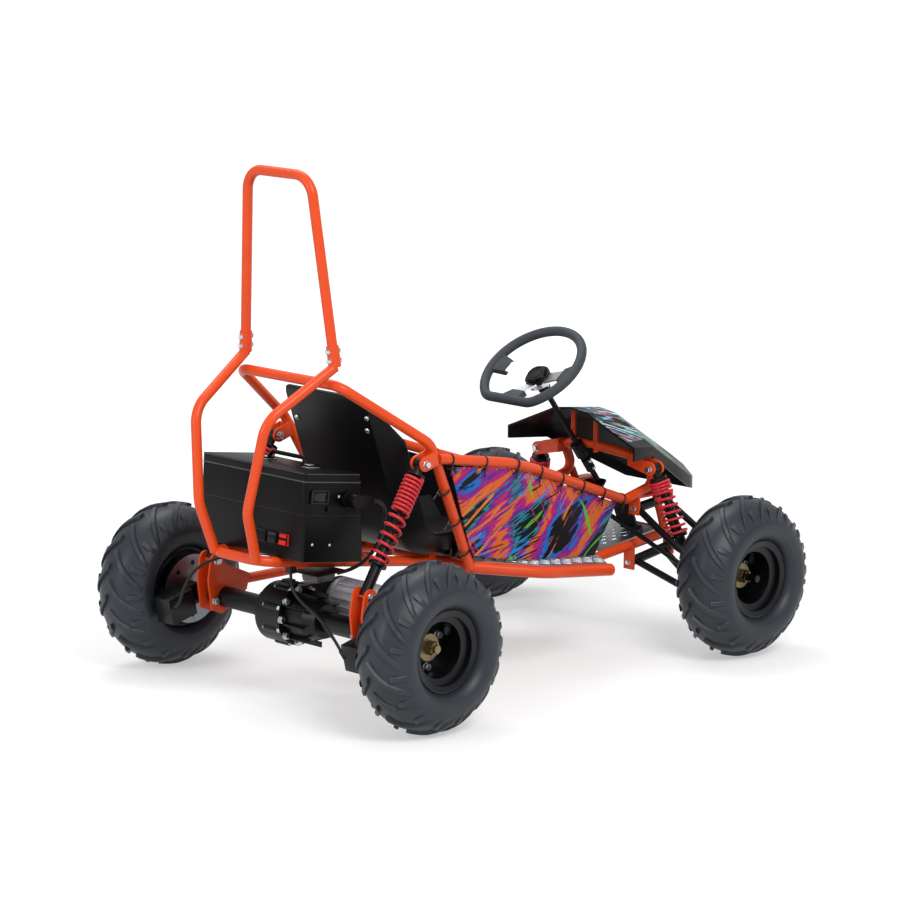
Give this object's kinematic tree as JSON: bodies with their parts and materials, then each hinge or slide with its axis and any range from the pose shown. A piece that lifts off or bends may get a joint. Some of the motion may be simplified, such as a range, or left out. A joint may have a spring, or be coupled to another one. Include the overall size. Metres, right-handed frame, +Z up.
{
  "type": "electric off-road buggy for a child",
  "caption": "One-seat electric buggy with open tube frame and roll hoop, knobbly tyres, coil-over suspension, battery box, steering linked to the front wheels.",
  "frame": {"origin": "on the ground, midway between the front and rear axles and on the centre line", "axes": "+X forward, +Y left, +Z up"},
  "size_m": [1.3996, 0.965, 1.132],
  "materials": {
    "orange_paint": "gloss powder coat",
    "bright_aluminium": "bright chequer plate",
    "moulded_plastic": "moulded",
    "printed_panel": "printed sheet",
    "box_paint": "fine texture",
    "black_plastic": "moulded",
    "cast_aluminium": "as cast",
    "black_paint": "satin",
    "red_spring": "gloss powder coat",
    "rim_paint": "satin",
    "tyre_rubber": "moulded",
    "zinc_steel": "zinc plated",
    "grip_foam": "foam"
  },
  "bodies": {
    "root": {"roll_hoop": "orange_paint", "cage_uprights": "orange_paint", "seat_hoop": "orange_paint", "lower_frame": "orange_paint", "sill_bars": "orange_paint", "side_rails": "orange_paint", "front_loops": "orange_paint", "front_frame": "orange_paint", "rear_ears": "orange_paint", "floor_plate": "bright_aluminium", "skid_plate": "bright_aluminium", "seat": "moulded_plastic", "side_panels": "printed_panel", "cowl": "moulded_plastic", "battery_box": "box_paint", "battery_lid": "box_paint", "carry_handle": "black_plastic", "box_controls": "black_plastic", "battery_plug": "black_plastic", "controller": "cast_aluminium", "pedals": "black_plastic", "column_support": "orange_paint", "axle_housing": "black_paint", "gearbox": "black_paint", "motor": "cast_aluminium", "axle_brackets": "orange_paint", "trailing_arms": "orange_paint", "rear_dampers": "black_paint", "rear_springs": "red_spring", "brake_calipers": "black_paint", "upper_arms": "black_paint", "lower_arms": "black_paint", "front_dampers": "black_paint", "front_springs": "red_spring", "battery_lead": "black_plastic", "brake_hoses": "black_plastic", "hose_blocks": "zinc_steel"},
    "steering": {"steering_grip": "grip_foam", "steering_spokes": "cast_aluminium", "steering_cap": "black_plastic", "steering_shaft": "black_paint"},
    "knuckle_left": {"knuckle_left": "black_paint"},
    "knuckle_right": {"knuckle_right": "black_paint"},
    "tie_rod_left": {"tie_rod_left": "black_paint"},
    "tie_rod_right": {"tie_rod_right": "black_paint"},
    "wheel_front_left": {"tyre_front_left": "tyre_rubber", "rim_front_left": "rim_paint"},
    "wheel_front_right": {"tyre_front_right": "tyre_rubber", "rim_front_right": "rim_paint"},
    "wheel_rear_left": {"tyre_rear_left": "tyre_rubber", "rim_rear_left": "rim_paint", "rear_hub_left": "zinc_steel", "brake_disc_left": "zinc_steel"},
    "wheel_rear_right": {"tyre_rear_right": "tyre_rubber", "rim_rear_right": "rim_paint", "rear_hub_right": "zinc_steel", "brake_disc_right": "zinc_steel"}
  },
  "joints": [
    {"name": "steering", "type": "hinge", "parent": "root", "child": "steering", "pos_m": [0.2236, 0, 0.6274], "axis": [-0.6074, 0, 0.7944], "range_deg": [-36, 36]},
    {"name": "kingpin_left", "type": "hinge", "parent": "root", "child": "knuckle_left", "pos_m": [0.49, 0.3, 0.18], "axis": [0, 0, 1], "range_deg": [-23, 23]},
    {"name": "tie_rod_end_left", "type": "hinge", "parent": "knuckle_left", "child": "tie_rod_left", "pos_m": [0.415, 0.3, 0.191], "axis": [0, 0, 1], "range_deg": [-23, 23]},
    {"name": "front_wheel_left", "type": "hinge", "parent": "knuckle_left", "child": "wheel_front_left", "pos_m": [0.49, 0.395, 0.18], "axis": [0, 1, 0], "continuous": true},
    {"name": "rear_wheel_left", "type": "hinge", "parent": "root", "child": "wheel_rear_left", "pos_m": [-0.49, 0.41, 0.18], "axis": [0, 1, 0], "continuous": true},
    {"name": "kingpin_right", "type": "hinge", "parent": "root", "child": "knuckle_right", "pos_m": [0.49, -0.3, 0.18], "axis": [0, 0, 1], "range_deg": [-23, 23]},
    {"name": "tie_rod_end_right", "type": "hinge", "parent": "knuckle_right", "child": "tie_rod_right", "pos_m": [0.415, -0.3, 0.191], "axis": [0, 0, 1], "range_deg": [-23, 23]},
    {"name": "front_wheel_right", "type": "hinge", "parent": "knuckle_right", "child": "wheel_front_right", "pos_m": [0.49, -0.395, 0.18], "axis": [0, 1, 0], "continuous": true},
    {"name": "rear_wheel_right", "type": "hinge", "parent": "root", "child": "wheel_rear_right", "pos_m": [-0.49, -0.41, 0.18], "axis": [0, 1, 0], "continuous": true}
  ],
  "couplings": [
    {"joint": "kingpin_left", "follows": "steering", "ratio": 0.62},
    {"joint": "tie_rod_end_left", "follows": "steering", "ratio": -0.62},
    {"joint": "kingpin_right", "follows": "steering", "ratio": 0.62},
    {"joint": "tie_rod_end_right", "follows": "steering", "ratio": -0.62}
  ]
}
